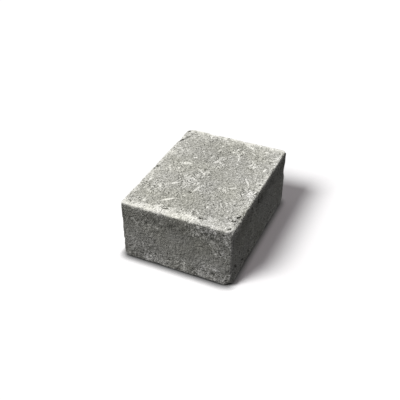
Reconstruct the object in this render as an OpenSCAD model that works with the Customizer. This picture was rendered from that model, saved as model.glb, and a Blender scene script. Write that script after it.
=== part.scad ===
// Tumbled concrete paving stone: one vibro-pressed block, one solid.
// Tumbling in a drum has worn its twelve edges round, and has knocked shallow hollow flakes off
// its corners and edges.
// Frame: origin at the middle of the bed face, +Z up, width along X, length along Y.

/* [Block] */
// Width of the block, along X
block_width = 120; // [90:1:200]
// Length of the block, along Y
block_length = 160; // [100:1:240]
// Height from the bed face to the wearing face
block_height = 70; // [50:1:120]

/* [Worn edges] */
// Radius of the edges round the wearing face
wearing_edge_radius = 1.5; // [1:0.25:4]
// Radius of the edges round the bed face
bed_edge_radius = 3.5; // [1:0.25:5]
// Radius of the four upright edges
upright_edge_radius = 1.75; // [1:0.25:5]

/* [Flakes] */
// Depth of a middling flake off a corner, measured in from the sharp corner
corner_flake_depth = 4; // [3:0.25:8]
// Radius of the hollow that a middling flake leaves at a corner
corner_hollow_radius = 22; // [10:1:40]
// Depth of a middling flake off an edge, measured in from the sharp edge
edge_flake_depth = 2; // [1:0.25:4]
// Radius of the hollow that a middling flake leaves on an edge
edge_hollow_radius = 26; // [10:1:60]

/* [Hidden] */

concrete_grey = [0.66, 0.65, 0.61];
curve_facets = 64;
profile_overrun = 10; // how far each profile's extrusion passes the block's faces

block_size = [block_width, block_length, block_height];
half_size = block_size / 2;

// Corner flakes: [the corner's direction from the block's centre, depth factor, radius factor]
corner_flakes = [
    [[-1,  1,  1], 0.95, 0.70],
    [[ 1,  1,  1], 0.60, 0.60],
    [[-1, -1,  1], 0.40, 0.35],
    [[ 1, -1,  1], 0.80, 0.70],
    [[-1,  1, -1], 1.20, 1.10],
    [[ 1,  1, -1], 0.90, 0.80],
    [[-1, -1, -1], 0.80, 0.70],
    [[ 1, -1, -1], 1.50, 0.90],
];

// Edge flakes: [the edge's direction from the block's centre, with a 0 on the axis that the edge
// runs along; place along the edge as a share of its half length; depth factor; radius factor;
// lean, under 1 where the flake spreads down the side and over 1 where it spreads over the end
// face above or below]
edge_flakes = [
    // round the wearing face
    [[-1,  0,  1],  0.69, 0.85, 0.8, 1.5],
    [[-1,  0,  1], -0.10, 0.70, 0.4, 1.0],
    [[-1,  0,  1], -0.55, 0.55, 1.2, 0.8],
    [[ 1,  0,  1], -0.76, 1.40, 1.2, 1.7],
    [[ 1,  0,  1], -0.14, 0.75, 0.9, 1.2],
    [[ 1,  0,  1],  0.45, 0.65, 1.0, 0.8],
    [[ 0, -1,  1],  0.20, 0.60, 1.4, 0.6],
    [[ 0, -1,  1], -0.42, 0.50, 0.9, 0.7],
    [[ 0, -1,  1],  0.66, 0.55, 1.1, 0.8],
    [[ 0,  1,  1],  0.20, 0.60, 1.2, 1.2],
    [[ 0,  1,  1], -0.45, 0.70, 1.3, 0.9],
    // round the bed face
    [[ 0, -1, -1], -0.36, 1.00, 0.5, 0.7],
    [[ 0, -1, -1],  0.42, 1.00, 1.3, 0.8],
    [[ 1,  0, -1], -0.45, 1.00, 1.4, 0.6],
    [[ 1,  0, -1],  0.35, 1.10, 0.6, 0.9],
    [[-1,  0, -1],  0.25, 1.60, 1.6, 0.6],
    [[-1,  0, -1], -0.60, 1.10, 0.8, 1.2],
    [[ 0,  1, -1], -0.30, 1.50, 1.8, 0.7],
    [[ 0,  1, -1],  0.55, 1.10, 0.6, 1.1],
    // on the upright edges
    [[ 1, -1,  0], -0.45, 0.65, 0.7, 1.0],
    [[-1, -1,  0],  0.30, 0.55, 0.8, 1.0],
    [[-1,  1,  0], -0.15, 1.60, 1.0, 1.0],
    [[ 1,  1,  0],  0.30, 1.20, 0.8, 1.0],
];

// Rectangle with rounded corners; the lower two and the upper two each have their own radius
module rounded_profile(width, height, lower_radius, upper_radius) {
    middle_height = height - lower_radius - upper_radius;
    translate([-width / 2, lower_radius - height / 2]) square([width, middle_height]);
    for (end = [[-1, lower_radius], [1, upper_radius]]) {
        radius = end[1];
        flat_width = width - 2 * radius;
        edge_y = end[0] * (height / 2 - radius);
        translate([-flat_width / 2, min(edge_y, end[0] * height / 2)]) square([flat_width, radius]);
        for (side = [-1, 1])
            translate([side * flat_width / 2, edge_y]) circle(radius, $fn = curve_facets);
    }
}

// The block with its twelve worn edges: what three rounded profiles, one along each axis, share
module worn_block() {
    intersection() {
        linear_extrude(block_height + 2 * profile_overrun, center = true)
            rounded_profile(block_width, block_length, upright_edge_radius, upright_edge_radius);
        rotate([90, 0, 0])
            linear_extrude(block_length + 2 * profile_overrun, center = true)
                rounded_profile(block_width, block_height, bed_edge_radius, wearing_edge_radius);
        rotate([90, 0, 90])
            linear_extrude(block_width + 2 * profile_overrun, center = true)
                rounded_profile(block_length, block_height, bed_edge_radius, wearing_edge_radius);
    }
}

// The hollow of one flake: a ball whose surface passes depth below the sharp corner or edge at
// place, and whose centre lies further out, towards direction
module flake_hollow(place, direction, depth, radius) {
    outwards = direction / norm(direction);
    translate(place + outwards * (radius - depth)) sphere(radius, $fn = curve_facets);
}

// A point on an edge or corner, from its direction and the share of the half length along it
function place_on(direction, share) =
    [for (axis = [0:2]) half_size[axis] * (direction[axis] == 0 ? share : direction[axis])];

// An edge's direction, tipped up or down by its lean
function leaning(direction, lean) = [direction[0], direction[1], direction[2] * lean];

module paving_stone() {
    color(concrete_grey)
        translate([0, 0, half_size[2]])
            difference() {
                worn_block();
                for (flake = corner_flakes)
                    flake_hollow(place_on(flake[0], 0), flake[0],
                        flake[1] * corner_flake_depth, flake[2] * corner_hollow_radius);
                for (flake = edge_flakes)
                    flake_hollow(place_on(flake[0], flake[1]), leaning(flake[0], flake[4]),
                        flake[2] * edge_flake_depth, flake[3] * edge_hollow_radius);
            }
}

paving_stone();
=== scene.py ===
# %% [markdown]
# # A tumbled concrete paving stone
#
# The real stone is one block of dry-mixed concrete, pressed in a steel mould under vibration.
# After curing it was rolled with its neighbours in a drum, which wore the edges round, knocked
# flakes off the corners and left pale scuffs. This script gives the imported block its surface.
# One closed mesh carries every shape larger than about a millimetre, and one material carries
# the finer grain and the colours.

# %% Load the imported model
import math

import bpy
import numpy as np
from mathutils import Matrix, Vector


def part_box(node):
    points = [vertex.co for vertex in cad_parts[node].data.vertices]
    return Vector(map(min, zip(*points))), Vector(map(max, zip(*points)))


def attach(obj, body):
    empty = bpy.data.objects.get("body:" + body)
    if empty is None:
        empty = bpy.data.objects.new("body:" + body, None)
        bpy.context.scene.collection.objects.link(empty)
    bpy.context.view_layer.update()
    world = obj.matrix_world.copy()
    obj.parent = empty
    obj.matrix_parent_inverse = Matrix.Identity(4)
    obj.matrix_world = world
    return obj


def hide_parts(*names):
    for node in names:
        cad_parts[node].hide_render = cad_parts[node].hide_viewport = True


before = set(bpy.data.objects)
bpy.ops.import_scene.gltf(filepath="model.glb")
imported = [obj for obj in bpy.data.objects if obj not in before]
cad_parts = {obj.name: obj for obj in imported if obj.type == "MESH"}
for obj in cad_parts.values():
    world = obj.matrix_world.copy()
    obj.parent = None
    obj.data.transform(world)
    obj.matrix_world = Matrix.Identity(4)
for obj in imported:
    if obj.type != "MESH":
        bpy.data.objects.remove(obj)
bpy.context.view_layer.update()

MM = 0.001
block_low, block_high = (np.array(corner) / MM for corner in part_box("paving_stone"))
half_size = (block_high - block_low) / 2
centre = (block_high + block_low) / 2
print("block", 2 * half_size, "mm, middle", centre)

# %% [markdown]
# ## Camera
#
# The camera looks down on the wearing face from the front right, a little over 0.4 m up. Its
# longish lens keeps the far edges only a little shorter than the near ones. It could be placed
# by a bare position and turn, but two angles, a distance and the point that it aims at are
# easier to read and to change.

# %% Camera
camera_azimuth = math.radians(24.6)
camera_elevation = math.radians(36.4)
camera_distance = 0.68
lens_length = 55.5
sensor_width = 36
aim_from_centre = (-12.0, 4.9, -5.0)
aim_point = Vector((centre + aim_from_centre) * MM)


def direction_at(azimuth, elevation):
    """Unit vector towards a place at this azimuth (0 is -Y, 90 degrees is +X) and elevation: the
    elevation's sine is its rise, and its cosine is shared out over X and Y by the azimuth."""
    level = math.cos(elevation)
    return Vector((math.sin(azimuth) * level, -math.cos(azimuth) * level, math.sin(elevation)))


towards_camera = direction_at(camera_azimuth, camera_elevation)
camera = bpy.data.objects.new("camera", bpy.data.cameras.new("camera"))
bpy.context.scene.collection.objects.link(camera)
camera.data.lens = lens_length
camera.data.sensor_width = sensor_width
camera.location = aim_point + towards_camera * camera_distance
camera.rotation_euler = (-towards_camera).to_track_quat("-Z", "Y").to_euler()
bpy.context.scene.camera = camera
print("camera at", [round(value, 4) for value in camera.location])

# %% [markdown]
# ## Shape: the worn block
#
# The block could be a cube with a Bevel modifier, but the flakes, pits and crumbled edges all
# need a surface that can be cut anywhere. So the shape is written as a distance: below zero
# inside the stone and above zero outside. Two shapes are cut or joined by comparing their
# distances, and a soft comparison wears the crease between them round.


# %% Distances
def rounded_rectangle(across, up, half_across, half_up, radius):
    """Distance outside a rectangle with round corners: how far a point lies past the smaller
    rectangle that is inset by the radius, less the radius."""
    past_across = np.abs(across) - half_across + radius
    past_up = np.abs(up) - half_up + radius
    outside = np.hypot(np.maximum(past_across, 0), np.maximum(past_up, 0))
    inside = np.minimum(np.maximum(past_across, past_up), 0)
    return outside + inside - radius


def soft_maximum(first, second, width):
    """The larger of two distances. Where they differ by less than the width, it is raised by
    (width - difference)^2 / (4 width), which fills the crease between two shapes."""
    near = np.maximum(width - np.abs(first - second), 0) / width
    return np.maximum(first, second) + near**2 * width / 4


# The worn edges' radii in mm: round the wearing face, round the bed face, and upright
wearing_edge_radius = 1.5
bed_edge_radius = 3.5
upright_edge_radius = 1.75


def worn_block(points):
    """Distance outside the block with worn edges: the largest of the distances outside its
    plan, its front outline and its side outline."""
    x, y, z = points.T
    half_x, half_y, half_z = half_size
    end_radius = np.where(z > 0, wearing_edge_radius, bed_edge_radius)
    plan = rounded_rectangle(x, y, half_x, half_y, upright_edge_radius)
    front = rounded_rectangle(x, z, half_x, half_z, end_radius)
    side = rounded_rectangle(y, z, half_y, half_z, end_radius)
    return np.maximum(plan, np.maximum(front, side))


print("middle of the block:", worn_block(np.zeros((1, 3))).round(1), "mm outside")

# %% [markdown]
# ## Shape: random numbers on a lattice
#
# Nothing on a tumbled stone repeats, so its roughness needs random numbers that are the same on
# every run. A small block of seeded random values is repeated through space, and the value
# between its lattice points is blended. The cell size in millimetres is the size of a lump.


# %% Lattice noise
LATTICE = 32
SEED_SHIFT = 0.37


def lattice_values(cells, seed):
    """Random values from 0 to 1, one for each whole-numbered cell, the same on each run. The
    block of values repeats, so a cell's number counts as its remainder after LATTICE."""
    table = np.random.default_rng(seed).random((LATTICE, LATTICE, LATTICE))
    i, j, k = np.mod(cells, LATTICE).T
    return table[i, j, k]


def lattice_noise(points, cell, seed):
    """Smooth noise from 0 to 1: the eight lattice values round a point, blended along each axis
    with the weight 3t^2 - 2t^3, where t is the share of the way across the cell."""
    scaled = points / cell + seed * SEED_SHIFT
    low = np.floor(scaled).astype(int)
    share = scaled - low
    weight = share * share * (3 - 2 * share)
    total = np.zeros(len(points))
    for corner in np.ndindex(2, 2, 2):
        corner = np.array(corner)
        weights = np.where(corner == 1, weight, 1 - weight).prod(axis=1)
        total += weights * lattice_values(low + corner, seed)
    return total


def layered_noise(points, cell, layers, seed):
    """Noise from 0 to 1 with finer layers: each has half the cell and half the weight of the
    one before it, and their sum is divided by the sum of the weights."""
    total = np.zeros(len(points))
    weight_sum = 0
    for layer in range(layers):
        weight = 0.5**layer
        total += weight * lattice_noise(points, cell * weight, seed + layer)
        weight_sum += weight
    return total / weight_sum


def smooth_step(low, high, value):
    """0 below low, 1 above high, and 3t^2 - 2t^3 between them. Low may be above high."""
    share = np.clip((value - low) / (high - low), 0, 1)
    return share * share * (3 - 2 * share)


# %% [markdown]
# ## Shape: flakes
#
# A knock on a corner or an edge splits off a thin flake and leaves a shallow hollow, rather like
# the mark of a spoon. Each hollow is part of a ball whose centre lies outside the stone. The
# same list stands in the block's construction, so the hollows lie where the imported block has
# them. Here each ball's surface is also rough, because concrete breaks round its sand grains.

# %% Flakes
# Depth below the sharp corner or edge, and radius of the ball, both in mm and before the factors
corner_flake_depth = 4
corner_hollow_radius = 22
edge_flake_depth = 2
edge_hollow_radius = 26

# The corner's direction from the middle of the block, depth factor, radius factor
corner_flakes = [
    ((-1, 1, 1), 0.95, 0.7),
    ((1, 1, 1), 0.6, 0.6),
    ((-1, -1, 1), 0.4, 0.35),
    ((1, -1, 1), 0.8, 0.7),
    ((-1, 1, -1), 1.2, 1.1),
    ((1, 1, -1), 0.9, 0.8),
    ((-1, -1, -1), 0.8, 0.7),
    ((1, -1, -1), 1.5, 0.9),
]

# The edge's direction, with a 0 on the axis it runs along; place along it as a share of its half
# length; depth factor; radius factor; lean, over 1 where the hollow spreads over the end face
edge_flakes = [
    ((-1, 0, 1), 0.69, 0.85, 0.8, 1.5),
    ((-1, 0, 1), -0.10, 0.70, 0.4, 1.0),
    ((-1, 0, 1), -0.55, 0.55, 1.2, 0.8),
    ((1, 0, 1), -0.76, 1.40, 1.2, 1.7),
    ((1, 0, 1), -0.14, 0.75, 0.9, 1.2),
    ((1, 0, 1), 0.45, 0.65, 1.0, 0.8),
    ((0, -1, 1), 0.20, 0.60, 1.4, 0.6),
    ((0, -1, 1), -0.42, 0.50, 0.9, 0.7),
    ((0, -1, 1), 0.66, 0.55, 1.1, 0.8),
    ((0, 1, 1), 0.20, 0.60, 1.2, 1.2),
    ((0, 1, 1), -0.45, 0.70, 1.3, 0.9),
    ((0, -1, -1), -0.36, 1.00, 0.5, 0.7),
    ((0, -1, -1), 0.42, 1.00, 1.3, 0.8),
    ((1, 0, -1), -0.45, 1.00, 1.4, 0.6),
    ((1, 0, -1), 0.35, 1.10, 0.6, 0.9),
    ((-1, 0, -1), 0.25, 1.60, 1.6, 0.6),
    ((-1, 0, -1), -0.60, 1.10, 0.8, 1.2),
    ((0, 1, -1), -0.30, 1.50, 1.8, 0.7),
    ((0, 1, -1), 0.55, 1.10, 0.6, 1.1),
    ((1, -1, 0), -0.45, 0.65, 0.7, 1),
    ((-1, -1, 0), 0.30, 0.55, 0.8, 1),
    ((-1, 1, 0), -0.15, 1.60, 1.0, 1),
    ((1, 1, 0), 0.30, 1.20, 0.8, 1),
]


def hollow(direction, share, depth, radius, lean):
    """Centre and radius of one hollow's ball: its surface passes depth below the sharp corner
    or edge, and its centre lies further out along the leaning direction."""
    direction = np.array(direction, float)
    place = np.where(direction == 0, share, direction) * half_size
    outwards = direction * (1, 1, lean)
    outwards /= np.linalg.norm(outwards)
    return place + outwards * (radius - depth), radius


hollows = [
    hollow(direction, 0, depth * corner_flake_depth, radius * corner_hollow_radius, 1)
    for direction, depth, radius in corner_flakes
] + [
    hollow(direction, share, depth * edge_flake_depth, radius * edge_hollow_radius, lean)
    for direction, share, depth, radius, lean in edge_flakes
]
print(len(hollows), "hollows")


def inside_hollows(points):
    """How deep a point lies inside the deepest ball: the ball's radius less the distance to its
    centre. Below 0, the point is outside all of them."""
    depths = [radius - np.linalg.norm(points - middle, axis=1) for middle, radius in hollows]
    return np.max(depths, axis=0)


# %% [markdown]
# ## Shape: a grid wrapped round the block
#
# A voxel remesh could turn the distance into a mesh, but it would spend as many squares on the
# calm faces as on the worn edges. This mesh starts as a box of squares instead, 0.5 mm wide
# along the edges, where the detail is, and 1 mm on the faces. Each point slides in along a ray
# towards a smaller box inside the stone, until the distance says that it has met the surface.
# On a flat face the rays run straight in, and round an edge they fan out, so the squares stay
# even over the worn edges.

# %% Grid
fine_step = 0.5
coarse_step = 1.06
fine_margin = 7.5
core_inset = 12


def steps_along(half_length):
    """Places along one side of the block: fine steps near both ends, coarse ones between."""
    fine_count = round(fine_margin / fine_step)
    coarse_count = round(2 * (half_length - fine_margin) / coarse_step)
    inner = half_length - fine_margin
    lower = np.linspace(-half_length, -inner, fine_count, endpoint=False)
    middle = np.linspace(-inner, inner, coarse_count, endpoint=False)
    upper = np.linspace(inner, half_length, fine_count + 1)
    return np.concatenate([lower, middle, upper])


def wrapped_grid():
    """Points of a box lattice that lie on its outside, and the squares between them. A point on
    an edge or a corner is one point, shared by the faces that meet there. Each square's corners
    are listed anticlockwise as seen from outside, so that its face points outwards."""
    axes = [steps_along(half_length) for half_length in half_size]
    shape = tuple(len(axis) for axis in axes)
    places = np.indices(shape)
    last = np.array(shape).reshape(3, 1, 1, 1) - 1
    outside = ((places == 0) | (places == last)).any(axis=0)
    number = np.full(shape, -1)
    number[outside] = np.arange(outside.sum())
    points = np.stack([axes[axis][places[axis][outside]] for axis in range(3)], axis=1)
    squares = []
    for axis in range(3):
        for end in (0, -1):
            sheet = np.take(number, end, axis=axis)
            corners = [sheet[:-1, :-1], sheet[1:, :-1], sheet[1:, 1:], sheet[:-1, 1:]]
            faces_out = (axis == 1) != (end == -1)
            corners = corners if faces_out else corners[::-1]
            squares.append(np.stack(corners, axis=-1).reshape(-1, 4))
    return points, np.concatenate(squares)


box_points, squares = wrapped_grid()
core_points = np.clip(box_points, core_inset - half_size, half_size - core_inset)
rays = box_points - core_points
ray_lengths = np.linalg.norm(rays, axis=1)
rays /= ray_lengths[:, None]
print(len(box_points), "points,", len(squares), "squares")

# %% [markdown]
# ## Shape: find the surface
#
# A point could creep along its ray in small steps until it leaves the stone. Halving the range
# in which it leaves, along all the rays at once, finds the surface to about a thousandth of a
# millimetre in fourteen steps. The flakes' roughness has to be in the distance itself here,
# because it also moves the ragged line where a hollow meets the worn face.

# %% Surface
crease_width = 0.8
break_roughness = 1.1
break_lump = 3.6
search_steps = 14


def stone(points):
    """Distance outside the stone: the larger of the distance outside the worn block and the
    depth inside the hollows, to which noise of up to half the roughness is added."""
    rough = layered_noise(points, break_lump, layers=3, seed=11) - 0.5
    hollowed = inside_hollows(points) + break_roughness * rough
    return soft_maximum(worn_block(points), hollowed, crease_width)


low = np.zeros(len(rays))
high = ray_lengths.copy()
for _ in range(search_steps):
    middle = (low + high) / 2
    inside = stone(core_points + rays * middle[:, None]) < 0
    low = np.where(inside, middle, low)
    high = np.where(inside, high, middle)
surface = core_points + rays * high[:, None]
print("furthest from the sharp box", round(float((ray_lengths - high).max()), 2), "mm")

# %% [markdown]
# ## Shape: faces, rims and edges
#
# Every later step asks where on the block a point lies. The slope of the finished surface could
# tell, but it is rough. The box point that a ray started from tells it exactly. Of its distances
# to the box's faces across X, Y and Z, the smallest is 0, because the point is on a face, and the
# middle one is the way to the nearest edge of that face. The ray's direction says which way the
# stone faces there, also over a worn edge: `on_top`, `on_side` and `on_bed` are shares that
# always add up to 1.

# %% Places on the block
x, y, z = box_points.T
height = z + half_size[2]
to_face = half_size - np.abs(box_points)
to_side = to_face[:, 0]
to_end = to_face[:, 1]
edge_distance = np.sort(to_face, axis=1)[:, 1]
print("furthest from an edge", round(float(edge_distance.max()), 1), "mm")

# %% Halves and faces
# A ray counts as facing a side squarely where its part in that direction is over this
square_on = 0.7
left_half = x < 0
right_half = x > 0
front_half = y < 0
back_half = y > 0
upward = rays[:, 2]
on_top = smooth_step(0.45, 0.75, upward)
on_bed = smooth_step(-0.66, -0.82, upward)
on_side = 1 - on_top - on_bed
faces_front = rays[:, 1] < -square_on
faces_back = rays[:, 1] > square_on
faces_left = rays[:, 0] < -square_on
faces_right = rays[:, 0] > square_on
print("wearing face points", int((on_top > 0.5).sum()))

# %% [markdown]
# ## Shape: pits
#
# Dry concrete is not pressed quite full: small voids stay open on its faces, mostly low on the
# sides. They could be cut out one by one, but there are thousands. Here each cell of a lattice
# may hold one pit at a random place in it, and a point only looks at the pits of its own cell
# and its neighbours. A small random shift of the points keeps a pit from being truly round.


# %% Pits
def pits(points, cell, radius_range, share, seed):
    """Depth from 0 to 1 of the deepest pit at each point: 1 - (distance / radius)^2 inside a
    pit's radius. The radius is random, and only this share of the cells holds a pit."""
    home = np.floor(points / cell).astype(int)
    deepest = np.zeros(len(points))
    smallest, largest = radius_range
    for offset in np.ndindex(3, 3, 3):
        cells = home + np.array(offset) - 1
        place = [lattice_values(cells, seed + axis) for axis in range(3)]
        middle = (cells + np.stack(place, axis=1)) * cell
        size = lattice_values(cells, seed + 3)
        radius = smallest + (largest - smallest) * size**2
        distance = np.linalg.norm(points - middle, axis=1)
        depth = np.maximum(1 - (distance / radius) ** 2, 0)
        deepest = np.maximum(deepest, np.where(lattice_values(cells, seed + 4) < share, depth, 0))
    return deepest


low_on_side = on_side * smooth_step(0.1, -0.8, z / half_size[2])
shifts = [lattice_noise(surface, cell=1.9, seed=seed) - 0.5 for seed in (25, 26, 27)]
shifted = surface + 1.2 * np.stack(shifts, axis=1)
fine_pits = pits(shifted, cell=3.8, radius_range=(0.6, 1.5), share=0.5, seed=31)
wide_pits = pits(shifted, cell=10, radius_range=(1.2, 2.8), share=0.5, seed=41)
# Depths in mm: shallow on the wearing face, deeper low on the sides, deepest on the bed face
pit_depth = on_top * (0.15 * fine_pits + 0.15 * wide_pits)
pit_depth += on_side * (0.2 + 0.4 * low_on_side) * (fine_pits + wide_pits)
pit_depth += on_bed * (0.5 * fine_pits + 0.9 * wide_pits)
print("deepest pit", round(float(pit_depth.max()), 2), "mm")

# %% [markdown]
# ## Shape: gashes and scuffs
#
# The drum also left marks that are longer than they are wide: short gashes beside the corners, and pale
# scuffs where another stone dragged across the face. Each is listed below and has a shape like a lens: with
# u along the mark and v across it, both as shares of its half size, it covers the places where u^2 + v^2 <
# 1. A gash sinks into the mesh, and its darkness is painted shade. The material draws the colour of both,
# so each point also keeps its own u and v on the nearest mark.

# %% Marks on the wearing face
# Place on the face in mm, angle in degrees, half length, half width, depth in mm, tone: over 0 for a pale
# scuff and below 0 for a gash that is painted dark, as the shade inside it
top_marks = [
    (-19, -56, 40, 7.0, 1.2, 0.0, 0.9),
    (-25, -27, 40, 4.5, 1.3, 0.0, 0.9),
    (-33, 10, 15, 4.0, 1.5, 0.0, 0.5),
    (-28, 12, -5, 3.0, 1.4, 0.0, 0.7),
    (-43, -4, -60, 7.0, 0.8, 0.0, 0.4),
    (-52, -31, 90, 3.0, 1.0, 0.0, 0.7),
    (-45, -50, -40, 2.0, 1.3, 0.0, 0.5),
    (-40, -67, 25, 2.0, 1.6, 0.0, 0.6),
    (-35, -42, -55, 4.0, 0.9, 0.0, 0.5),
    (-39, -38, 25, 1.4, 1.1, 0.0, 0.7),
    (-21, -11, 60, 2.5, 0.9, 0.0, 0.9),
    (-15, -17, -55, 3.6, 0.9, 0.0, 0.6),
    (-11, -13, -40, 2.6, 1.1, 0.0, 0.9),
    (-1, -30, 75, 4.0, 1.1, 0.0, 0.9),
    (2, -22, 70, 3.0, 0.8, 0.0, 0.5),
    (-11, 4, -30, 2.5, 1.0, 0.0, 0.6),
    (-5, 0, 25, 1.6, 1.2, 0.0, 0.55),
    (-26, 25, 0, 2.6, 1.0, 0.0, 0.8),
    (-23, 41, 25, 1.5, 1.0, 0.0, 0.6),
    (-21, 36, -50, 5.0, 0.6, 0.0, 0.4),
    (-7, -44, 25, 1.2, 1.0, 0.0, 0.7),
    (22, -52, -80, 2.0, 1.0, 0.0, 0.8),
    (-3, 26, 70, 3.4, 1.0, 0.0, 0.9),
    (1, 27, -25, 3.0, 0.9, 0.0, 0.7),
    (3, 19, 85, 1.5, 1.0, 0.0, 0.7),
    (0, 36, 85, 2.0, 1.0, 0.0, 0.8),
    (-10, 35, 75, 3.2, 0.8, 0.0, 0.6),
    (-8, 50, 80, 3.0, 0.9, 0.0, 0.6),
    (-8, 59, 25, 1.2, 1.0, 0.0, 0.6),
    (10, 58, 85, 3.4, 0.9, 0.0, 0.9),
    (14, 49, -50, 4.4, 0.8, 0.0, 0.8),
    (18, 41, -80, 4.0, 0.8, 0.0, 0.8),
    (7, 52, 5, 1.4, 1.2, 0.0, 0.8),
    (20, 31, 25, 1.2, 1.1, 0.0, 0.9),
    (22, 69, -30, 4.4, 1.1, 0.0, 0.9),
    (29, 58, -40, 2.4, 0.8, 0.0, 0.7),
    (35, 41, -55, 3.8, 0.9, 0.0, 0.7),
    (40, 34, 0, 2.8, 1.2, 0.0, 0.9),
    (41, 67, 25, 1.6, 1.4, 0.0, 0.8),
    (51, 32, 80, 3.0, 1.0, 0.0, 0.8),
    (42, 4, -55, 7.0, 0.8, 0.0, 0.6),
    (51, -10, -55, 3.4, 0.9, 0.0, 0.6),
    (33, -12, 30, 3.6, 1.1, 0.0, 0.7),
    (20, -18, 25, 1.3, 1.1, 0.0, 0.7),
    (26, -19, -25, 2.5, 1.0, 0.0, 0.8),
    (43, -50, 60, 2.0, 0.9, 0.0, 0.6),
    (41, -32, -35, 2.8, 0.8, 0.0, 0.4),
    (36, -38, -20, 2.5, 0.8, 0.0, 0.4),
    (-57, -7, -15, 2.2, 1.4, 1.1, -1.0),
    (-58, -12, 90, 1.2, 1.0, 0.8, -0.8),
    (-53, -38, 25, 1.2, 1.0, 0.5, -0.6),
    (-54, -45, 50, 1.3, 0.9, 0.5, -0.6),
    (-43, -41, 25, 1.2, 0.9, 0.5, -0.6),
    (-18, -7, 25, 1.1, 0.9, 0.4, -0.7),
    (-4, -36, -30, 2.2, 1.0, 0.6, -0.9),
    (-7, 8, -35, 2.5, 1.0, 0.3, -0.5),
    (-26, 19, 25, 1.1, 0.9, 0.4, -0.7),
    (-12, 24, 55, 1.1, 0.9, 0.4, -0.7),
    (-6, 31, 50, 1.1, 0.9, 0.4, -0.8),
    (-9, 77, 55, 1.4, 1.0, 0.8, -0.9),
    (-20, 70, 40, 1.3, 1.0, 0.5, -0.8),
    (56, 5, 0, 1.5, 1.2, 0.8, -1.0),
    (38, 28, 0, 1.3, 0.9, 0.4, -0.8),
    (52, 37, 25, 1.2, 0.8, 0.3, -0.6),
    (58, -12, 55, 1.6, 0.9, 0.6, -0.8),
    (26, -46, -25, 1.6, 0.9, 0.4, -0.8),
    (45, -38, 25, 1.2, 0.9, 0.4, -0.7),
    (54, -62, 10, 2.6, 1.2, 1.0, -0.8),
    (57, -54, 62, 4.0, 1.4, 1.2, -0.8),
    (58, -46, 25, 1.5, 1.2, 1.0, -0.8),
    (23, -71, -5, 1.8, 1.1, 0.7, -1.0),
    (28, -70, -20, 1.6, 0.9, 0.5, -0.7),
    (-14, -71, 12, 3.4, 1.0, 0.7, -0.9),
    (-1, -71, -10, 1.2, 0.9, 0.4, -0.7),
    (55, -75, 50, 3.0, 1.0, 0.9, -0.9),
    (-52, -73, 30, 1.8, 0.9, 0.5, -0.7),
    (-57, 52, 68, 3.6, 1.3, 1.2, -1.0),
    (-53, 61, 50, 2.8, 1.2, 1.2, -1.0),
    (-57, 74, 60, 3.0, 1.2, 0.9, -0.9),
    (-50, 75, 10, 2.4, 1.0, 0.5, -0.7),
    (-47, 70, 25, 1.4, 1.0, 0.4, -0.6),
    (-37, 76, 25, 1.5, 0.9, 0.5, -0.6),
    (-31, 75, 25, 1.4, 0.9, 0.4, -0.5),
    (-22, 75, 25, 1.4, 0.9, 0.5, -0.7),
    (-20, 64, 30, 1.3, 0.9, 0.3, -0.7),
    (-9, 74, 25, 1.2, 0.8, 0.4, -0.5),
]
print(len(top_marks), "marks on the wearing face")

# %% Marks on the front and the right side
# The place is measured along the face from its middle, and up from the bed
front_marks = [
    (-20, 50, -40, 2.6, 1.4, 0.0, 0.6),
    (-35, 6, 20, 3.0, 1.2, 0.0, 0.8),
    (-26, 13, -35, 2.0, 0.9, 0.0, 0.6),
    (-46, 53, -70, 1.8, 0.8, 0.0, 0.5),
    (-30, 57, -35, 2.2, 0.8, 0.0, 0.4),
    (-6, 31, -15, 1.8, 1.2, 0.0, 0.4),
    (25, 57, -45, 3.5, 0.8, 0.0, 0.8),
    (31, 55, -55, 2.4, 0.8, 0.0, 0.7),
    (35, 63, -45, 3.0, 0.7, 0.0, 0.6),
    (43, 64, -45, 4.0, 0.7, 0.0, 0.6),
    (18, 59, -55, 2.6, 0.7, 0.0, 0.6),
    (39, 51, -55, 3.2, 0.7, 0.0, 0.5),
    (46, 49, -50, 3.0, 0.7, 0.0, 0.5),
    (43, 39, 40, 1.8, 1.0, 0.0, 0.6),
    (-32, 53, 5, 1.6, 1.1, 0.7, -0.9),
    (-42, 52, -25, 1.3, 0.8, 0.4, -0.7),
    (-25, 68, 10, 2.6, 0.9, 0.5, -0.8),
    (22, 5, -45, 2.8, 1.0, 0.7, -0.8),
    (31, 12, -8, 3.0, 0.8, 0.5, -0.8),
    (48, 40, -30, 1.6, 0.9, 0.5, -0.8),
    (41, 10, -50, 1.6, 1.0, 0.6, -0.7),
    (55, 8, 55, 2.2, 1.0, 0.6, -0.7),
    (32, 60, -40, 2.0, 1.1, 0.4, -0.6),
    (39, 57, -50, 3.0, 0.8, 0.4, -0.6),
    (51, 65, -20, 1.6, 0.9, 0.5, -0.7),
    (7, 10, -40, 1.6, 0.9, 0.4, -0.6),
    (-4, 56, -85, 3.0, 0.8, 0.3, -0.5),
    (16, 61, -80, 3.0, 0.8, 0.3, -0.6),
]
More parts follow.
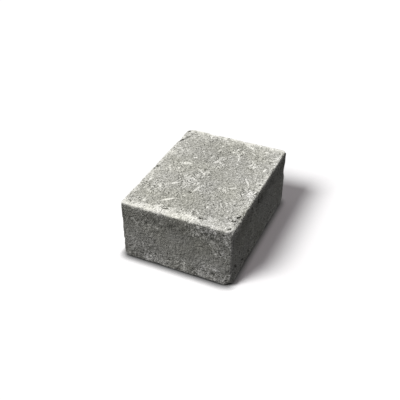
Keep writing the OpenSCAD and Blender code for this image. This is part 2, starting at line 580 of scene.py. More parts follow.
right_marks = [
    (39, 12, -50, 3.0, 1.2, 0.6, -0.7),
    (-48, 13, -30, 4.0, 1.6, 0.6, -0.7),
    (-68, 20, -50, 4.0, 1.4, 0.6, -0.7),
    (-31, 10, -50, 4.5, 1.0, 0.4, -0.5),
    (-15, 4, -15, 3.0, 1.0, 0.4, -0.5),
    (-53, 9, -60, 3.0, 1.0, 0.4, -0.5),
    (-16, 50, -50, 4.5, 1.2, 0.0, 0.4),
    (26, 51, -65, 4.5, 1.0, 0.0, 0.3),
    (51, 12, -15, 4.0, 1.0, 0.0, 0.3),
    (11, 24, 75, 3.5, 1.2, 0.0, 0.2),
    (-9, 60, -60, 4.0, 1.3, 0.4, -0.7),
    (-19, 55, -70, 3.5, 1.3, 0.0, 0.5),
    (3, 58, -50, 3.0, 1.1, 0.3, -0.6),
    (-27, 63, -50, 3.0, 1.0, 0.3, -0.6),
    (-3, 32, 70, 5.0, 1.0, 0.0, 0.25),
    (-65, 64, -30, 4.0, 1.4, 0.0, 0.5),
]
print(len(front_marks), "marks on the front and", len(right_marks), "on the right side")

# %% Nearest mark
mark_reach = 3.5


def nearest_mark(places, rows):
    """For each place on a face: u and v on the nearest mark, that mark's tone, and the depth of
    its gash there, which is its full depth times 1 - u^2 - v^2. The nearest mark is the one with
    the nearest middle line, and a place further than mark_reach from it gets the tone 0."""
    across, up, angle, half_length, half_width, depth, tone = np.array(rows, float).T
    turn = np.radians(angle)
    offset_across = places[:, :1] - across
    offset_up = places[:, 1:] - up
    along_mark = offset_across * np.cos(turn) + offset_up * np.sin(turn)
    over_mark = offset_up * np.cos(turn) - offset_across * np.sin(turn)
    distance = np.hypot(np.maximum(np.abs(along_mark) - half_length, 0), over_mark)
    nearest = distance.argmin(axis=1)
    row = np.arange(len(places))
    u = (along_mark / half_length)[row, nearest]
    v = (over_mark / half_width)[row, nearest]
    close = distance[row, nearest] < mark_reach
    sunk = depth[nearest] * np.maximum(1 - u**2 - v**2, 0)
    return np.stack([u, v, tone[nearest] * close], axis=1), sunk


mark = np.zeros_like(surface)
gash_depth = np.zeros(len(surface))
for rows, on_face, places in (
    (top_marks, on_top > 0.5, np.stack([x, y], axis=1)),
    (front_marks, (on_side > 0.5) & faces_front, np.stack([x, height], axis=1)),
    (right_marks, (on_side > 0.5) & faces_right, np.stack([y, height], axis=1)),
):
    mark[on_face], gash_depth[on_face] = nearest_mark(places[on_face], rows)
print("deepest gash", round(float(gash_depth.max()), 2), "mm")

# %% [markdown]
# ## Shape: crumbled edges and faces
#
# Between the flakes the edges have lost single grains, so they are ragged and not smoothly
# round. The faces are flat to a few tenths of a millimetre: a long swell from the mould and a
# short lumpiness from the grains. All of it only takes material away, so the stone stays inside
# its packed box.

# %% Crumbled edges
crumb_depth = 0.5
chunk_depth = 0.25
crumbs = smooth_step(0.45, 0.85, layered_noise(surface, cell=1.8, layers=2, seed=51))
chunks = smooth_step(0.62, 0.85, layered_noise(surface, cell=6, layers=2, seed=61))
near_edge = smooth_step(2.5, 0.2, edge_distance)
edge_loss = near_edge * (crumb_depth * crumbs + chunk_depth * chunks)
# The edges round the bed crumble more, and the left part of the front rim stays nearly whole
edge_loss *= 1 + 0.6 * (z < 0)
edge_loss *= 1 - 0.6 * smooth_step(10, -20, x) * smooth_step(-70, -76, y) * smooth_step(20, 30, z)
print("most lost along an edge", round(float(edge_loss.max()), 2), "mm")

# %% Uneven faces
swell_depth = 0.15
swell = layered_noise(surface, cell=42, layers=2, seed=71)
lumps = layered_noise(surface, cell=2.6, layers=2, seed=81)
lump_depth = 0.12 * on_top + 0.2 * on_side + 0.3 * low_on_side + 0.5 * on_bed
face_loss = swell_depth * swell + lump_depth * lumps
face_loss *= smooth_step(0, 3, edge_distance)
print("most lost on a face", round(float(face_loss.max()), 2), "mm")

# %% Everything that the stone has lost
# The least loss is taken off everywhere, so that the stone keeps its full size
loss = edge_loss + face_loss + pit_depth + gash_depth
loss -= loss.min()
surface = surface - rays * loss[:, None]
print("material lost: mean", round(float(loss.mean()), 2), "most", round(float(loss.max()), 2), "mm")

# %% [markdown]
# ## Mesh
#
# The points go into one mesh, in metres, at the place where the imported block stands. Whole
# arrays are handed over at once, which takes a moment where a loop over the points would take
# minutes. Smooth shading blends the light over the squares.

# %% Build the mesh
mesh = bpy.data.meshes.new("tumbled_block")
mesh.vertices.add(len(surface))
mesh.vertices.foreach_set("co", ((surface + centre) * MM).astype(np.float32).ravel())
mesh.loops.add(squares.size)
mesh.loops.foreach_set("vertex_index", squares.astype(np.int32).ravel())
mesh.polygons.add(len(squares))
mesh.polygons.foreach_set("loop_start", np.arange(0, squares.size, 4, dtype=np.int32))
mesh.update(calc_edges=True)
mesh.validate()
mesh.shade_smooth()
block = bpy.data.objects.new("tumbled_block", mesh)
bpy.context.scene.collection.objects.link(block)
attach(block, "root")
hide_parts("paving_stone")
print(len(mesh.polygons), "squares in the mesh")

# %% [markdown]
# ## Masks: what the material is told
#
# Much of the colour follows the shape: the worn rim is pale, the pits are painted darker as shade, and the
# sides are darker than the wearing face, partly as painted shade. The material could guess at this from the
# slope of the surface, but here it is known exactly. So each mask is worked out now, point by point, and
# stored on the mesh for the material to read.


# %% Helpers for masks
def store(name, values):
    """Puts one number, or one vector, per point on the mesh, under this name."""
    values = np.asarray(values, np.float32)
    kind, field = ("FLOAT", "value") if values.ndim == 1 else ("FLOAT_VECTOR", "vector")
    layer = mesh.attributes.new(name, kind, "POINT")
    layer.data.foreach_set(field, values.ravel())


def nearness(points, place, radius):
    """1 at this place on the stone, falling off all round it as exp(-(distance / radius)^2)."""
    return np.exp(-(((points - place) / radius) ** 2).sum(axis=1))


on_front = on_side * faces_front
on_right = on_side * faces_right
on_left_or_back = on_side * (faces_left | faces_back)
print("points on the front", int((on_front > 0.5).sum()), "and the right side", int((on_right > 0.5).sum()))

# %% [markdown]
# ## Masks: the worn rim
#
# The drum rubbed the rim of the wearing face down to fresh, pale stone. The rubbed band is far from even:
# it is wide along the front and the back, and narrow along the sides. Each of the four edges gets a band of
# its own, a smooth step on the distance to that edge, and the palest band counts. Noise added to the
# distance makes the band's border ragged. Along the front arris the band also holds a painted highlight.

# %% The worn rim
back_wear = 0.85
left_wear = 0.45
right_wear = 0.3
ragged = 15 * (layered_noise(surface, cell=7, layers=3, seed=91) - 0.5)
front_depth = 9 + 8 * smooth_step(-38, -18, x)
front_rim_and_highlight = smooth_step(1, 0.4, (to_end + ragged) / front_depth) * front_half
front_rim_and_highlight *= 1.1 - 0.4 * smooth_step(-10, 45, x)
# The front arris itself is rubbed palest, and painted paler still as a highlight, most of all in its left
# half
front_rim_and_highlight += 0.45 * smooth_step(3, 0.5, to_end) * smooth_step(30, -10, x) * front_half
front_rim_and_highlight += 0.5 * smooth_step(2.5, 0.8, to_end) * smooth_step(-20, -45, x) * front_half
# The back has a pale band and a faint, much wider one
back_rim = smooth_step(8, 3, to_end + 0.6 * ragged) * back_half
back_rim += 0.35 * smooth_step(24, 7, to_end + ragged) * back_half
left_rim = smooth_step(7, 1, to_side + 0.5 * ragged) * left_half
right_rim = smooth_step(9, 2, to_side + 0.5 * ragged) * right_half
# How far the wear reaches down over the arris, in mm: further towards the left
worn_down = 1.4 + 0.9 * smooth_step(20, -30, x) + 0.5 * smooth_step(-25, -50, x)
over_arris = smooth_step(0, 1, worn_down - (half_size[2] - z))
bands = [front_rim_and_highlight, back_wear * back_rim, left_wear * left_rim, right_wear * right_rim]
rim = over_arris * np.max(bands, axis=0)
print("worn rim points", int((rim > 0.5).sum()))

# %% [markdown]
# ## Masks: where the knocks gather
#
# The small scuffs and pinholes lie in crowds, with calm concrete between them. A threshold on noise could
# place all the crowds, and does so on the left side and the back. On the other faces they are listed one by
# one as soft round spots, as no two stones are knocked alike.

# %% Busy patches
# Place from the middle of the stone, radius in mm
busy_patches = [
    ((-12, -18, 35), 15),
    ((-1, 29, 35), 11),
    ((-6, 2, 35), 8),
    ((10, 52, 35), 13),
    ((-38, -41, 35), 10),
    ((38, 36, 35), 10),
    ((-22, 70, 35), 10),
    ((-50, 70, 35), 9),
    ((52, -12, 35), 10),
    ((24, -18, 35), 7),
    ((-47, 36, 35), 8),
    ((-50, -72, 35), 9),
    ((56, -60, 35), 10),
    ((10, -74, 35), 14),
    ((-20, -76, 35), 12),
    ((-38, -80, 17), 11),
    ((-32, -80, 28), 9),
    ((22, -80, 24), 12),
    ((42, -80, 22), 14),
    ((47, -80, 5), 6),
    ((28, -80, -26), 10),
    ((50, -80, -24), 12),
    ((-28, -80, -24), 13),
    ((4, -80, -22), 8),
    ((60, -62, -16), 10),
    ((60, -25, -25), 12),
    ((60, 38, -22), 10),
    ((60, -8, 20), 12),
    ((60, 55, 27), 14),
]
uneven = layered_noise(surface, cell=5, layers=3, seed=141) - 0.5
knocks = np.max([nearness(surface, place, radius) for place, radius in busy_patches], axis=0)
scattered = smooth_step(0.45, 0.65, lattice_noise(surface, cell=13, seed=101))
knocks = np.maximum(knocks, on_left_or_back * scattered)
busy = smooth_step(0.25, 0.7, knocks + 1.2 * uneven)
print(len(busy_patches), "busy patches over", round(float(busy.mean()), 2), "of the stone")

# %% [markdown]
# ## Masks: how grainy and how scratched
#
# The sand shows most where the skin of cement is broken away, and least on the rim, which is
# rubbed smooth. `grit` is the strength of the grain. `scratched` says how much of the fine
# slanting scratches shows: all along the front's upper right, and less in two spots on its left.

# %% Grain and scratches
bed_grit = 1.3
share_up = height / (2 * half_size[2])
upper = smooth_step(0.55, 0.85, share_up)
top_grit = on_top * (0.86 + 0.28 * busy) * (1 - 0.3 * rim)
side_grit = on_side * (0.76 + 0.15 * upper + 0.1 * busy)
grit = top_grit + side_grit + bed_grit * on_bed
# The front is coarser at its left end and calm in the middle, and the right side is coarsest
grit += 0.15 * on_front * smooth_step(-15, -40, x)
grit += 0.35 * on_right - 0.25 * on_side * nearness(surface, (15, -80, 0), 24)
scratched = on_front * smooth_step(0, 25, x) * smooth_step(0.5, 0.75, share_up)
for place, radius in (((-40, -80, -14), 11), ((-36, -80, 24), 15)):
    scratched = np.maximum(scratched, 0.6 * on_front * nearness(surface, place, radius))
print("grit from", round(float(grit.min()), 2), "to", round(float(grit.max()), 2))

# %% [markdown]
# ## Masks: how pale
#
# Concrete is never one grey. Cement gathers in some places and dirt in others, and each face and each edge
# has worn in its own way. `pale` sums all of it up, together with painted highlights and painted shade
# along some edges and painted light at the front's foot: the material multiplies its colour by 1 + pale. It
# starts from the rim, the faces and slow noise, goes on to the edges, and ends with stains and pale spots
# that are placed one by one.

# %% Paleness of the rim and the faces
patches = layered_noise(surface, cell=20, layers=3, seed=111) - 0.5
blotches = layered_noise(surface, cell=6, layers=3, seed=131) - 0.5
pale = rim * (0.82 + 1.5 * uneven)
# The wearing face grows paler towards its left and right edges
pale += on_top * (0.17 + 0.24 * (x / half_size[0]) ** 2 + 0.25 * patches + 0.15 * blotches)
# The sides are darker in their upper part, but for a pale line just under the arris
under_arris = smooth_step(0.84, 0.93, share_up)
side_tone = 0.16 - 0.28 * upper + 0.18 * under_arris + 0.3 * patches + (0.35 + 0.25 * upper) * blotches
pale += on_side * side_tone
pale += 0.11 * on_right
print("paleness so far", round(float(pale.mean()), 2))

# %% Paleness along the edges
# A faint pale strip down the left of the wearing face, but for its front part
pale += 0.1 * on_top * smooth_step(20, 5, to_side) * left_half * smooth_step(-40, -10, y)
# The upright edge between the front and the right side: a pale line with a strip of painted shade beside it
corner_line = 0.58 * smooth_step(2.2, 0.8, to_side)
corner_painted_shade = 0.18 * smooth_step(7, 3, to_side)
pale += on_front * right_half * (corner_line - corner_painted_shade)
# The left arris is darker towards the back, and the right one is dark in its near half
pale -= over_arris * left_half * 0.4 * smooth_step(1.8, 0.3, to_side) * smooth_step(-40, 40, y)
near_half = smooth_step(5, -30, y)
pale += over_arris * right_half * smooth_step(4.5, 2.5, to_side) * (0.06 - 0.38 * near_half)
# The front's left edge is dark, and the right side's near edge is pale
pale -= on_front * left_half * 0.35 * smooth_step(3.5, 1.5, to_side)
pale += on_right * front_half * 0.45 * smooth_step(4, 0, to_end)
# The foot of the sides is blotched with pale dust, and the front's bottom edge is painted paler, standing
# in for light thrown up from the paper
foot = on_side * smooth_step(0.2, 0.05, share_up + 0.3 * uneven)
pale += foot * (0.1 + 1.8 * blotches) + 0.7 * on_front * smooth_step(3, 1, height)
print("paleness so far", round(float(pale.mean()), 2))

# %% Stains and pale spots
# Place from the middle of the stone, radius in mm, tone: over 0 is paler
tints = [
    ((-6, 1, 35), 6, 0.25),
    ((-31, 11, 35), 7, 0.22),
    ((-8, -22, 35), 6, 0.1),
    ((-42, -14, 35), 24, 0.12),
    ((-42, 60, 35), 14, 0.12),
    ((-23, -70, 35), 9, 0.25),
    ((8, -71, 35), 8, -0.3),
    ((-20, -23, 35), 7, -0.12),
    ((50, -70, 35), 9, -0.25),
    ((52, 72, 35), 8, -0.15),
    ((36, -30, 35), 10, -0.1),
    ((8, 44, 35), 9, -0.08),
    ((-40, -67, 35), 6, 0.2),
    # A pale spot at the front left corner, painted paler as a highlight on its worn arris
    ((-57, -77, 35), 5, 0.3),
    ((55, -17, 35), 6, 0.25),
    ((57, 6, 35), 6, 0.25),
    ((52, 60, 35), 8, 0.05),
    ((-52, 28, 35), 7, 0.2),
    ((13, 67, 35), 7, -0.3),
    ((0, 77, 35), 9, 0.14),
    ((20, 77, 35), 9, 0.16),
    ((-34, 73, 35), 9, 0.16),
    ((-14, -80, 27), 10, -0.15),
    ((-26, -80, 28), 8, -0.2),
    ((8, -80, 22), 10, -0.05),
    ((42, -80, 14), 13, -0.22),
    ((18, -80, 2), 12, -0.18),
    ((50, -80, -24), 10, -0.28),
    ((-36, -80, -26), 7, -0.15),
    ((-50, -80, 13), 9, -0.1),
    ((30, -80, 18), 8, -0.15),
    ((-27, -80, -10), 7, -0.15),
    ((-51, -80, -12), 10, 0.2),
    ((37, -80, -16), 9, 0.4),
    ((-14, -80, -28), 8, 0.45),
    ((-27, -80, -27), 6, 0.4),
    ((29, -80, -29), 5, 0.45),
    ((55, -80, 22), 4, 0.3),
    ((60, -6, 23), 9, -0.4),
    ((60, -60, 20), 10, -0.12),
    ((60, -68, 31), 10, 0.3),
    ((60, 32, 28), 9, -0.25),
    ((60, 60, 24), 8, -0.15),
    ((60, 30, 8), 12, 0.08),
]
pale += sum(tone * nearness(surface, place, radius) for place, radius, tone in tints)
print(len(tints), "stains and pale spots, paleness", round(float(pale.mean()), 2))

# %% Store the masks
full_pit = 0.6
calm_right = 0.6
cream = 0.5 + 1.4 * (layered_noise(surface, cell=26, layers=3, seed=121) - 0.5)
store("side", on_side + on_bed)
store("grit", grit)
store("busy", busy * (1 - calm_right * on_right))
store("scratched", scratched)
store("pale", pale)
store("cream", np.clip(cream, 0, 1))
store("pit", np.clip(pit_depth / full_pit, 0, 1))
store("mark", mark)
print("stored", [layer.name for layer in mesh.attributes if layer.domain == "POINT"])

# %% [markdown]
# ## Material: tumbled concrete
#
# Portland cement concrete with grey sand, pressed dry, left unsealed and worn in the drum. It is
# a rough dielectric: no metal and almost no gloss, so the eye sees only its colour, which
# changes from grain to grain. One noise texture could speckle it, but real concrete is marked in
# several ways, each with its own size: sand grain, pinholes, scuffs, streaks and scratches. Each
# gets a cell below and adds its part to `tone`, which is 0 for plain concrete, above 0 where it
# is paler and below 0 where it is darker. Patterns are scaled in millimetres.


# %% Helpers for materials
def linear(hex_colour):
    """Linear RGBA of an sRGB hex colour: each channel c becomes ((c + 0.055) / 1.055)^2.4, or
    c / 12.92 where it is very dark."""
    channels = [int(hex_colour[i : i + 2], 16) / 255 for i in (1, 3, 5)]
    return tuple(c / 12.92 if c <= 0.04045 else ((c + 0.055) / 1.055) ** 2.4 for c in channels) + (1,)


def add(tree, kind, inputs=None, **settings):
    """Adds one node and returns its outputs. Settings are the node's own properties. Inputs
    gives each socket a value, or another node's output to link to it. Sockets that share a
    name, such as the numbers of a Math node, are given by their place in the node instead."""
    node = tree.nodes.new("ShaderNode" + kind)
    for name, value in settings.items():
        setattr(node, name, value)
    for socket, value in (inputs or {}).items():
        if isinstance(value, bpy.types.NodeSocket):
            tree.links.new(value, node.inputs[socket])
        else:
            node.inputs[socket].default_value = value
    return node.outputs


# %% Places and masks
concrete = bpy.data.materials.new("tumbled_concrete")
concrete.use_nodes = True
tree = concrete.node_tree
tree.nodes.clear()
metres = add(tree, "TexCoord")["Object"]
place = add(tree, "VectorMath", {0: metres, "Scale": 1 / MM}, operation="SCALE")[0]
mask = {
    name: add(tree, "Attribute", attribute_name=name)["Fac"]
    for name in ("side", "grit", "busy", "scratched", "pale", "cream", "pit")
}
mark_vector = add(tree, "Attribute", attribute_name="mark")["Vector"]
mark_u, mark_v, mark_strength = add(tree, "SeparateXYZ", {0: mark_vector})
print("masks read by the material:", list(mask))

# %% [markdown]
# ### Sand grain
#
# Three layers of noise, from clusters of grains down to single ones. The real sand is mostly
# finer than half a millimetre, which the picture can't show, so the finest layer is drawn at
# about a millimetre and is the strongest. The same noise becomes the relief of the grain, with
# each layer's height in proportion to the width of its lumps.

# %% Sand grain
# Each layer: lump size in mm, detail, roughness of the detail, twist, strength
grain_layers = [(5.0, 2, 0.5, 1.0, 0.5), (2.0, 2, 0.6, 1.2, 0.8), (0.95, 1, 0.5, 0.8, 3.9)]
tone = 0.0
sand = 0.0
for size, detail, rough, twist, strength in grain_layers:
    layer = add(
        tree,
        "TexNoise",
        {"Vector": place, "Scale": 1 / size, "Detail": detail, "Roughness": rough, "Distortion": twist},
    )[0]
    centred = add(tree, "Math", {0: layer, 1: 0.5}, operation="SUBTRACT")[0]
    tone = add(tree, "Math", {0: centred, 1: strength, 2: tone}, operation="MULTIPLY_ADD")[0]
    sand = add(tree, "Math", {0: centred, 1: size, 2: sand}, operation="MULTIPLY_ADD")[0]
fine_grain = layer
print("grain from", grain_layers[0][0], "down to", grain_layers[-1][0], "mm")

# %% [markdown]
# ### Pinholes
#
# Air left between the grains opens as small holes, which look dark from the shade inside them; that shade
# is painted here as dark spots. A Voronoi texture gives each cell one point and one random colour: the
# distance to the point draws a round hole, and the colour decides whether this cell has one. Busy patches
# have about four times as many holes.

# %% Pinholes
# Each layer: spacing in mm, share of the cells that have a hole only where it is busy, radius as a share of
# the spacing, strength of its painted shade. Calm concrete has calm_share times as many.
hole_layers = [(1.7, 0.3, 0.45, -0.5), (2.6, 0.3, 0.4, -0.5)]
calm_share = 0.3
for spacing, share, radius, strength in hole_layers:
    cells = add(tree, "TexVoronoi", {"Vector": place, "Scale": 1 / spacing})
    hole = add(
        tree,
        "MapRange",
        {"Value": cells["Distance"], "From Min": radius, "From Max": radius / 2},
        interpolation_type="SMOOTHSTEP",
    )[0]
    draw = add(tree, "SeparateColor", {0: cells["Color"]})[0]
    few = calm_share * share
    limit = add(tree, "Math", {0: mask["busy"], 1: share, 2: few}, operation="MULTIPLY_ADD")[0]
    chosen = add(tree, "Math", {0: draw, 1: limit}, operation="LESS_THAN")[0]
    hole = add(tree, "Math", {0: hole, 1: chosen}, operation="MULTIPLY")[0]
    tone = add(tree, "Math", {0: hole, 1: strength, 2: tone}, operation="MULTIPLY_ADD")[0]
    print("holes of about", round(2 * radius * spacing, 1), "mm across")
pinhole = hole
tone = add(tree, "Math", {0: tone, 1: mask["grit"]}, operation="MULTIPLY")[0]

# %% [markdown]
# ### Scuffs
#
# Where stones rubbed together they left short, curved, pale lines. The line where a smooth
# noise crosses 0.5 winds about just like that, so the places where the noise lies within a
# small thickness of 0.5 are drawn pale. A second noise breaks the lines up into short pieces,
# and leaves more of them in the busy patches.

# %% Scuffs
# Each layer: size of its loops in mm, how thick its lines are, random start, strength
scuff_layers = [(6.0, 0.04, 1.0, 0.85), (4.0, 0.045, 5.0, 0.8)]
piece_scale = 1.6
piece_level = 0.64
piece_fade = 0.06
busy_bonus = 0.2
for size, thickness, start, strength in scuff_layers:
    loops = add(
        tree,
        "TexNoise",
        {"Vector": place, "W": start, "Scale": 1 / size, "Detail": 1.2},
        noise_dimensions="4D",
    )[0]
    level = add(tree, "Math", {0: loops, 1: 0.5}, operation="SUBTRACT")[0]
    level = add(tree, "Math", {0: level}, operation="ABSOLUTE")[0]
    line = add(
        tree,
        "MapRange",
        {"Value": level, "From Min": thickness, "From Max": thickness / 3},
        interpolation_type="SMOOTHSTEP",
    )[0]
    pieces = add(
        tree,
        "TexNoise",
        {"Vector": place, "W": start + 2, "Scale": piece_scale / size, "Detail": 1.0},
        noise_dimensions="4D",
    )[0]
    pieces = add(tree, "Math", {0: mask["busy"], 1: busy_bonus, 2: pieces}, operation="MULTIPLY_ADD")[0]
    pieces = add(
        tree,
        "MapRange",
        {"Value": pieces, "From Min": piece_level, "From Max": piece_level + piece_fade},
        interpolation_type="SMOOTHSTEP",
    )[0]
    line = add(tree, "Math", {0: line, 1: pieces}, operation="MULTIPLY")[0]
    tone = add(tree, "Math", {0: line, 1: strength, 2: tone}, operation="MULTIPLY_ADD")[0]
print(len(scuff_layers), "layers of scuffs")

# %% [markdown]
# ### Placed marks and pits
#
# The listed scuffs and gashes come from the mesh as u, v and a strength. A mark could end in a clean curve
# where the length of (u, v) is 1, but grains break its edge up. So the fine grain is added to that length
# first, and the mark fades out a little way past 1. Pale marks add to the tone. Dark ones are kept for the
# end, where they shade whatever else is there.

# %% Placed marks and pits
edge_raggedness = 1.8
mark_edge = 1.3 + edge_raggedness / 2
mark_fade = 0.45
scuff_strength = 1.35
pit_painted_shade = -0.5
flat_mark = add(tree, "CombineXYZ", {0: mark_u, 1: mark_v})[0]
mark_radius = add(tree, "VectorMath", {0: flat_mark}, operation="LENGTH")["Value"]
ragged_radius = add(
    tree, "Math", {0: fine_grain, 1: edge_raggedness, 2: mark_radius}, operation="MULTIPLY_ADD"
)[0]
mark_mask = add(
    tree,
    "MapRange",
    {"Value": ragged_radius, "From Min": mark_edge, "From Max": mark_edge - mark_fade},
    interpolation_type="SMOOTHSTEP",
)[0]
mark_tone = add(tree, "Math", {0: mark_mask, 1: mark_strength}, operation="MULTIPLY")[0]
pale_mark = add(tree, "Math", {0: mark_tone, 1: 0.0}, operation="MAXIMUM")[0]
# Dark marks are painted shade for the inside of each gash
dark_mark = add(tree, "Math", {0: mark_tone, 1: 0.0}, operation="MINIMUM")[0]
tone = add(tree, "Math", {0: pale_mark, 1: scuff_strength, 2: tone}, operation="MULTIPLY_ADD")[0]
# The pits are darkened with painted shade
tone = add(tree, "Math", {0: mask["pit"], 1: pit_painted_shade, 2: tone}, operation="MULTIPLY_ADD")[0]
print("marks fade out from", round(mark_edge - mark_fade, 2), "to", round(mark_edge, 2))

# %% [markdown]
# ### Drag streaks and scratches
#
# The mould was drawn off upwards and left faint upright streaks on the sides. A wave texture
# would draw them too evenly, so they are a noise stretched to ten times its width. The fine
# scratches are a second stretched noise, turned to slant over the front, of which only the
# highest part shows.

# %% Drag streaks
streak_width = 5.0
streak_stretch = 10
streak_strength = 0.4
upright = add(tree, "Mapping", {0: place, "Scale": (1, 1, 1 / streak_stretch)})[0]
streak = add(tree, "TexNoise", {"Vector": upright, "Scale": 1 / streak_width, "Detail": 3.0})[0]
streak = add(tree, "Math", {0: streak, 1: 0.5}, operation="SUBTRACT")[0]
streak = add(tree, "Math", {0: streak, 1: mask["side"]}, operation="MULTIPLY")[0]
tone = add(tree, "Math", {0: streak, 1: streak_strength, 2: tone}, operation="MULTIPLY_ADD")[0]
print("streaks", streak_width, "mm wide and", streak_width * streak_stretch, "mm long")

# %% Scratches
scratch_width = 1.3
scratch_stretch = 7
scratch_floor = 0.53
scratch_strength = 7.0
slant = math.radians(-38)
slanted = add(
    tree,
    "Mapping",
    {0: place, "Rotation": (0, slant, 0), "Scale": (1, 1, scratch_stretch)},
    vector_type="TEXTURE",
)[0]
scratch = add(tree, "TexNoise", {"Vector": slanted, "Scale": 1 / scratch_width, "Detail": 1.0})[0]
scratch = add(tree, "Math", {0: scratch, 1: scratch_floor}, operation="SUBTRACT")[0]
scratch = add(tree, "Math", {0: scratch, 1: 0.0}, operation="MAXIMUM")[0]
scratch = add(tree, "Math", {0: scratch, 1: mask["scratched"]}, operation="MULTIPLY")[0]
tone = add(tree, "Math", {0: scratch, 1: scratch_strength, 2: tone}, operation="MULTIPLY_ADD")[0]
print("scratches", scratch_width, "mm wide and", round(scratch_width * scratch_stretch, 1), "mm long")

# %% [markdown]
# ### Colour
#
# The wearing face is a mid grey and the sides a darker one, partly from less cement dust on them and partly
# as painted shade. Each has a neutral and a creamier tint, mixed by a slow mask. The colour is multiplied
# by (1 + tone) (1 + pale), held between black and white by soft limits, and then by the painted shade of
# the dark marks. Blue rises a little faster than red and green, since rubbed stone is cooler than dirt.

# %% Colour
neutral_top = linear("#9b9a94")
creamy_top = linear("#9b9a90")
# The sides' greys are darker partly from less cement dust and partly as painted shade
neutral_side_with_shade = linear("#858480")
creamy_side_with_shade = linear("#86857d")
darkest = 0.15
dark_blend = 0.2
palest = 2.5
pale_blend = 0.4
gash_darkness = 0.85
coolness = 1.06
top_colour = add(tree, "Mix", {0: mask["cream"], 6: neutral_top, 7: creamy_top}, data_type="RGBA")[2]
side_colour_with_shade = add(tree, "Mix", {0: mask["cream"], 6: neutral_side_with_shade, 7: creamy_side_with_shade}, data_type="RGBA")[2]
colour = add(tree, "Mix", {0: mask["side"], 6: top_colour, 7: side_colour_with_shade}, data_type="RGBA")[2]
tone = add(tree, "Math", {0: tone, 1: 1.0}, operation="ADD")[0]
paleness = add(tree, "Math", {0: mask["pale"], 1: 1.0}, operation="ADD")[0]
brightness = add(tree, "Math", {0: tone, 1: paleness}, operation="MULTIPLY")[0]
brightness = add(tree, "Math", {0: brightness, 1: darkest, 2: dark_blend}, operation="SMOOTH_MAX")[0]
brightness = add(tree, "Math", {0: brightness, 1: palest, 2: pale_blend}, operation="SMOOTH_MIN")[0]
shade = add(tree, "Math", {0: dark_mark, 1: gash_darkness, 2: 1.0}, operation="MULTIPLY_ADD")[0]
brightness = add(tree, "Math", {0: brightness, 1: shade}, operation="MULTIPLY")[0]
blueness = add(tree, "Math", {0: brightness, 1: coolness}, operation="POWER")[0]
multiplier = add(tree, "CombineXYZ", {0: brightness, 1: brightness, 2: blueness})[0]
colour = add(tree, "VectorMath", {0: colour, 1: multiplier}, operation="MULTIPLY")[0]
print("neutral grey of the wearing face, linear", [round(value, 3) for value in neutral_top])

# %% [markdown]
# ### Relief and shader
#
# Everything larger than about a millimetre is in the mesh. Grain could be too, with many times
# the faces. Instead the sand grain and the pinholes are left to a Bump node, which tilts the
# light without moving the surface. The shader has an IOR typical of stone, is rough all over,
# and gets its flat, dusty look from a high diffuse roughness.

# %% Relief
relief_distance = 0.8 * MM
hole_height = -0.3
sand = add(tree, "Math", {0: pinhole, 1: hole_height, 2: sand}, operation="MULTIPLY_ADD")[0]
sand = add(tree, "Math", {0: sand, 1: mask["grit"]}, operation="MULTIPLY")[0]
relief = add(tree, "Bump", {"Strength": 1.0, "Distance": relief_distance, "Height": sand})[0]
print("relief scaled to", relief_distance / MM, "mm")

# %% Shader
shader = add(
    tree,
    "BsdfPrincipled",
    {"Base Color": colour, "Roughness": 0.92, "IOR": 1.45, "Diffuse Roughness": 0.6, "Normal": relief},
)[0]
add(tree, "OutputMaterial", {"Surface": shader})
mesh.materials.append(concrete)
print(len(tree.nodes), "nodes in", concrete.name)

# %% [markdown]
# ## Studio: paper
#
# The stone stands on a wide sheet of white paper. Real paper sends light back up at a stone,
# and is darkest in a narrow line where the two touch. The renderer could work out both by
# itself, but here each can be set by itself. The paper neither reflects the stone's light nor
# stops it. The dark line comes from an Ambient Occlusion node, which tells how open a spot is
# within a few millimetres. Its direction leans over to +X, so the line is darkest along the
# front and the left, where the lamps cast no shadow.

# %% Paper
shade_reach = 8.5 * MM
shade_power = 2.3
shade_lean = (0.33, 0.05, 1.0)
bpy.ops.mesh.primitive_circle_add(vertices=96, radius=8, fill_type="NGON")
floor = bpy.context.object
floor.name = "floor"
paper = bpy.data.materials.new("white_paper")
paper.use_nodes = True
sheet = paper.node_tree
sheet.nodes.clear()
lean = add(sheet, "CombineXYZ", dict(enumerate(shade_lean)))[0]
openness = add(sheet, "AmbientOcclusion", {"Distance": shade_reach, "Normal": lean}, samples=16)["AO"]
contact_shade = add(sheet, "Math", {0: openness, 1: shade_power}, operation="POWER")[0]
white = add(sheet, "VectorMath", {0: linear("#f2f2f2")[:3], "Scale": contact_shade}, operation="SCALE")[0]
matte = add(sheet, "BsdfDiffuse", {"Color": white})[0]
add(sheet, "OutputMaterial", {"Surface": matte})
floor.data.materials.append(paper)
floor.visible_diffuse = False
floor.visible_glossy = False
floor.visible_shadow = False
print("paper 16 m wide, contact shade within", round(shade_reach / MM, 1), "mm")

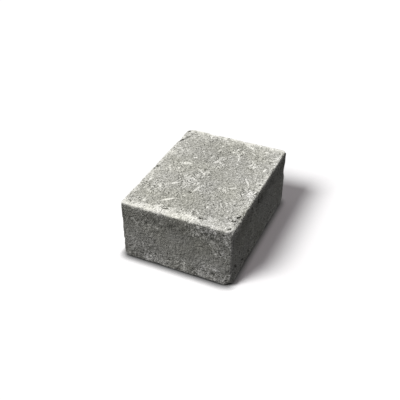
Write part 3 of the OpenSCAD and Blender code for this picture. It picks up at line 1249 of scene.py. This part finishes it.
# %% [markdown]
# ## Studio: lamps
#
# Soft studio light could come from one large lamp, but then white paper means pale sides on the
# stone. Light linking gives the stone and the paper their own lamps. The stone has a high key
# from the left, a low soft one from behind that picks out the back of the wearing face, and a
# weak wide one from below, for the light that paper would send back. The paper has a wide key
# from the front left, whose soft shadow falls to the back right, and a weak mauve fill that
# tints the shadow. A pale room lights both evenly and is pure white where the camera sees it.


# %% Lamps
def sun(name, towards, brightness, width_degrees, lights_up):
    """A far, soft round lamp. Brightness 1 gives a face square to it the radiance of its own
    colour, so the lamp's strength is pi times that."""
    lamp = bpy.data.lights.new(name, "SUN")
    lamp.energy = math.pi * brightness
    lamp.angle = math.radians(width_degrees)
    holder = bpy.data.objects.new(name, lamp)
    holder.rotation_euler = Vector(towards).to_track_quat("Z", "Y").to_euler()
    bpy.context.scene.collection.objects.link(holder)
    receivers = bpy.data.collections.new(name + "_lights_up")
    for item in lights_up:
        receivers.objects.link(item)
    holder.light_linking.receiver_collection = receivers
    return holder


sun("key", towards=(-0.6, -0.28, 1.0), brightness=1.33, width_degrees=12, lights_up=[block])
sun("back", towards=(-0.25, 1.0, 0.45), brightness=0.31, width_degrees=30, lights_up=[block])
sun("bounce", towards=(0.04, -0.2, -1.0), brightness=0.27, width_degrees=60, lights_up=[block])
sun("floor_key", towards=(-34.6, -52.5, 70), brightness=1.23, width_degrees=23.5, lights_up=[floor])
floor_fill = sun("floor_fill", towards=(0.0, 0.0, 1.0), brightness=0.08, width_degrees=9, lights_up=[floor])
floor_fill.data.color = (1.0, 0.8, 0.88)

# %% Room
room_light = 0.187
world = bpy.data.worlds.new("pale_room")
bpy.context.scene.world = world
world.use_nodes = True
sky = world.node_tree
sky.nodes.clear()
seen = add(sky, "LightPath")["Is Camera Ray"]
ambient = add(sky, "Background", {"Color": (1, 1, 1, 1), "Strength": room_light})[0]
backdrop = add(sky, "Background", {"Color": (1, 1, 1, 1), "Strength": 1.0})[0]
both = add(sky, "MixShader", {0: seen, 1: ambient, 2: backdrop})[0]
add(sky, "OutputWorld", {"Surface": both})
bpy.context.scene.view_settings.view_transform = "Standard"
print("room light", room_light)
